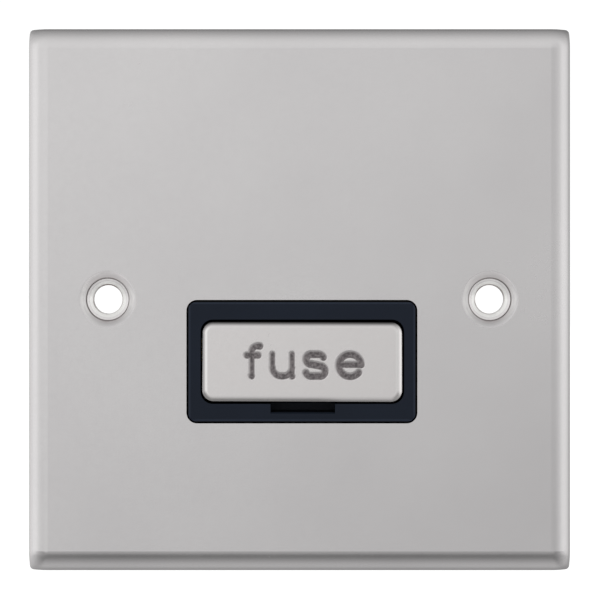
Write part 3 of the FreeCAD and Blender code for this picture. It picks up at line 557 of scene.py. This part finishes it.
def cap_lines(half):
    """Grid lines from -half to half: close together at the rim, 0.1 mm over the face."""
    rim = [0.0, 0.012, 0.035, 0.07, 0.115, 0.17, 0.235, 0.31, 0.395, 0.49, 0.595, 0.71, 0.83, 0.96, 1.1, 1.2, 1.3]
    n = int(round((half - 1.3) * 2 / 0.1))
    mid = [-(half - 1.3) + (half - 1.3) * 2 * i / n for i in range(1, n)]
    return [-half + q for q in rim] + mid + [half - q for q in reversed(rim)]


def cap_mesh():
    ha, hb = CAP_W / 2, CAP_H / 2
    A, B = cap_lines(ha), cap_lines(hb)
    verts, faces, cover, tone, rim_shade, rim_glint = [], [], [], [], [], []
    for a in A:
        for b in B:
            u, v = (abs(a) - (ha - CAP_RC)) / CAP_RC, (abs(b) - (hb - CAP_RC)) / CAP_RC
            if u > 0 and v > 0:
                r = max(u, v)
                t = math.pi / 4 * v / u if u >= v else math.pi / 2 - math.pi / 4 * u / v
                x = math.copysign(ha - CAP_RC + CAP_RC * r * math.cos(t), a)
                z = math.copysign(hb - CAP_RC + CAP_RC * r * math.sin(t), b)
                dist = CAP_RC * (1 - r)
                nx, nz = math.copysign(math.cos(t), a), math.copysign(math.sin(t), b)
            else:
                x, z = a, b
                dist = min(ha - abs(a), hb - abs(b))
                nx, nz = (math.copysign(1.0, a), 0.0) if ha - abs(a) < hb - abs(b) else (0.0, math.copysign(1.0, b))
            fall, painted_lighting, bright = edge_drop(dist, nx, nz, x)
            y = CAP_Y0 + LEAN_X * x + LEAN_Z * z + fall
            g, c, k = word_at(x, z)
            verts.append(((x + CAP_X) * MM, (y + g) * MM, (z + ASKEW * x + CAP_Z) * MM))
            cover.append(c)
            tone.append(k)
            rim_shade.append(painted_lighting)
            rim_glint.append(bright)
    na, nb = len(A), len(B)
    for i in range(na - 1):
        for j in range(nb - 1):
            p = i * nb + j
            faces.append((p, p + nb, p + nb + 1, p + 1))
    # the rim in order, then the skirt, its lower lip and the inside of the shell
    ring = [i * nb for i in range(na)] + [(na - 1) * nb + j for j in range(1, nb)] + \
           [i * nb + nb - 1 for i in range(na - 2, -1, -1)] + [j for j in range(nb - 2, 0, -1)]
    cx, cz = CAP_X * MM, CAP_Z * MM

    def inset(p, q, y):
        """The rim point p moved in by q mm along the outline's normal, at depth y."""
        x = (verts[p][0] - cx) / MM
        z = (verts[p][2] - cz) / MM - ASKEW * x
        kx, kz = ha - CAP_RC, hb - CAP_RC
        qx, qz = max(-kx, min(kx, x)), max(-kz, min(kz, z))
        ox, oz = x - qx, z - qz
        n = math.hypot(ox, oz)
        x, z = x - ox / n * q, z - oz / n * q
        return (x * MM + cx, y * MM, (z + ASKEW * x) * MM + cz)

    rings = [ring]
    for q, y in ((0.0, -3.55), (0.0, CAP_Y1 - 0.06), (0.06, CAP_Y1), (CAP_T - 0.05, CAP_Y1), (CAP_T, CAP_Y1 - 0.05),
                 (CAP_T, CAP_Y0 + CAP_T + 0.45), (CAP_T + 0.12, CAP_Y0 + CAP_T + 0.14), (CAP_T + 0.45, CAP_Y0 + CAP_T)):
        base = len(verts)
        verts.extend(inset(p, q, y) for p in ring)
        cover.extend([0.0] * len(ring))
        tone.extend([0.0] * len(ring))
        # painted shade on the skirt and the inside of the shell
        rim_shade.extend([0.6] * len(ring))
        rim_glint.extend([0.0] * len(ring))
        rings.append(list(range(base, base + len(ring))))
    for r0, r1 in zip(rings, rings[1:]):
        n = len(r0)
        for k in range(n):
            faces.append((r0[k], r1[k], r1[(k + 1) % n], r0[(k + 1) % n]))
    faces.append(tuple(rings[-1]))
    me = bpy.data.meshes.new("cap_face")
    me.from_pydata(verts, [], faces)
    for nm, vals in (("filler", cover), ("tone", tone), ("rim_shade", rim_shade), ("rim_glint", rim_glint)):
        at = me.attributes.new(nm, "FLOAT", "POINT")
        at.data.foreach_set("value", vals)
    me.validate()
    me.update()
    bm = bmesh.new()
    bm.from_mesh(me)
    bmesh.ops.recalc_face_normals(bm, faces=bm.faces)
    for f in bm.faces:
        f.smooth = len(f.verts) == 4
    bm.to_mesh(me)
    bm.free()
    ob = bpy.data.objects.new("cap_face", me)
    scene.collection.objects.link(ob)
    ob.data.materials.append(CAP_MAT)
    return ob


cap_face = cap_mesh()
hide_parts("carrier_cap")
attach(cap_face, "fuse_drawer")

# ---- stage: pale floor, white surroundings, soft light ---------------------------------------
FLOOR_Z = -0.125
bpy.ops.mesh.primitive_plane_add(size=24.0, location=(0, 0, FLOOR_Z))
floor = bpy.context.object
floor.name = "floor"
fm, fnt, fb, fout = new_mat("pale_floor")
fb.inputs["Base Color"].default_value = (0.86, 0.86, 0.86, 1)
fb.inputs["Roughness"].default_value = 0.8
fb.inputs["Emission Color"].default_value = (1, 1, 1, 1)
fb.inputs["Emission Strength"].default_value = 0.55
floor.data.materials.append(fm)
floor.visible_glossy = False


def ramp(nt, v, stops):
    """Piecewise smooth curve through (x 0..1, value) stops."""
    n = nt.nodes.new("ShaderNodeFloatCurve")
    c = n.mapping.curves[0]
    n.mapping.use_clip = False
    n.mapping.extend = "HORIZONTAL"
    top = 2.0
    pts = [(x, y / top) for x, y in stops]
    while len(c.points) < len(pts):
        c.points.new(0.5, 0.5)
    for p, (x, y) in zip(c.points, pts):
        p.location = (x, y)
        p.handle_type = "AUTO_CLAMPED"
    n.mapping.update()
    nt.links.new(v, n.inputs["Value"])
    return math_node(nt, "MULTIPLY", n.outputs[0], top)


world = bpy.data.worlds.new("studio")
scene.world = world
world.use_nodes = True
wnt = world.node_tree
wnt.nodes.clear()
wout = wnt.nodes.new("ShaderNodeOutputWorld")
tc = wnt.nodes.new("ShaderNodeTexCoord")
sp = wnt.nodes.new("ShaderNodeSeparateXYZ")
wnt.links.new(tc.outputs["Generated"], sp.inputs[0])
X, Y, Z = sp.outputs
# angle from the camera's side of the object (0) to straight behind it (1)
phi = math_node(wnt, "DIVIDE", math_node(wnt, "ARCCOSINE", math_node(wnt, "MULTIPLY", Y, -1.0, clamp=False)), math.pi)
x2 = math_node(wnt, "MULTIPLY", X, X)
z2 = math_node(wnt, "MULTIPLY", Z, Z)
tot = math_node(wnt, "ADD", math_node(wnt, "ADD", x2, z2), 1e-5)
left = math_node(wnt, "DIVIDE", math_node(wnt, "MULTIPLY", x2, math_node(wnt, "LESS_THAN", X, 0.0)), tot)
right = math_node(wnt, "DIVIDE", math_node(wnt, "MULTIPLY", x2, math_node(wnt, "GREATER_THAN", X, 0.0)), tot)
up = math_node(wnt, "DIVIDE", math_node(wnt, "MULTIPLY", z2, math_node(wnt, "GREATER_THAN", Z, 0.0)), tot)
down = math_node(wnt, "DIVIDE", math_node(wnt, "MULTIPLY", z2, math_node(wnt, "LESS_THAN", Z, 0.0)), tot)


def d(a):
    return a / 180.0


C = 0.815
L_LEFT = [(0.0, C), (d(6), 0.925), (d(20), 0.985), (d(48), 0.945), (d(58), 0.98), (d(74), 1.12), (d(90), 1.13), (d(112), 1.00), (d(140), 0.86), (1.0, 0.60)]
L_RIGHT = [(0.0, C), (d(6), 0.660), (d(20), 0.69), (d(42), 0.79), (d(58), 0.91), (d(74), 1.08), (d(95), 1.05), (d(115), 0.88), (d(135), 0.55), (1.0, 0.45)]
L_UP = [(0.0, C), (d(6), 0.925), (d(20), 0.93), (d(48), 0.87), (d(62), 0.80), (d(78), 0.68), (d(95), 0.55), (d(115), 0.44), (d(138), 0.28), (1.0, 0.22)]
L_DOWN = [(0.0, C), (d(7), 0.700), (d(14), 0.47), (d(23), 0.25), (d(34), 0.205), (d(46), 0.29), (d(64), 0.44), (d(83), 0.56), (d(102), 0.59), (d(126), 0.42), (1.0, 0.32)]
total = None
for w, st in ((left, L_LEFT), (right, L_RIGHT), (up, L_UP), (down, L_DOWN)):
    t = math_node(wnt, "MULTIPLY", w, ramp(wnt, phi, st))
    total = t if total is None else math_node(wnt, "ADD", total, t)
# the room's corners are darker than its walls, the lower ones most of all
F_LOW = [(0.0, 1.0), (d(12), 1.0), (d(34), 0.60), (d(62), 0.48), (d(90), 0.59), (d(106), 0.71), (d(128), 0.84), (1.0, 0.90)]
F_HIGH = [(0.0, 1.0), (d(12), 1.0), (d(40), 1.02), (d(66), 0.98), (d(100), 0.80), (1.0, 0.72)]
diag = math_node(wnt, "DIVIDE", math_node(wnt, "MULTIPLY", math_node(wnt, "MULTIPLY", x2, z2), 4.0), math_node(wnt, "MULTIPLY", tot, tot))
low = math_node(wnt, "LESS_THAN", Z, 0.0)
lean = math_node(wnt, "DIVIDE", z2, tot)
between = math_node(wnt, "MULTIPLY", smooth(wnt, lean, 0.012, 0.085, 0.0, 1.0), smooth(wnt, lean, 0.72, 0.98, 1.0, 0.0))
for w, st in ((math_node(wnt, "MULTIPLY", between, low), F_LOW),
              (math_node(wnt, "MULTIPLY", diag, math_node(wnt, "SUBTRACT", 1.0, low)), F_HIGH)):
    f = math_node(wnt, "ADD", 1.0, math_node(wnt, "MULTIPLY", w, math_node(wnt, "SUBTRACT", ramp(wnt, phi, st), 1.0)))
    total = math_node(wnt, "MULTIPLY", total, f)
bg_light = wnt.nodes.new("ShaderNodeBackground")
wnt.links.new(total, bg_light.inputs["Strength"])
bg_light.inputs["Color"].default_value = (1.0, 0.996, 0.990, 1)
bg_white = wnt.nodes.new("ShaderNodeBackground")
bg_white.inputs["Color"].default_value = (1, 1, 1, 1)
bg_white.inputs["Strength"].default_value = 1.05
lp = wnt.nodes.new("ShaderNodeLightPath")
mix = wnt.nodes.new("ShaderNodeMixShader")
wnt.links.new(lp.outputs["Is Camera Ray"], mix.inputs[0])
wnt.links.new(bg_light.outputs[0], mix.inputs[1])
wnt.links.new(bg_white.outputs[0], mix.inputs[2])
wnt.links.new(mix.outputs[0], wout.inputs["Surface"])
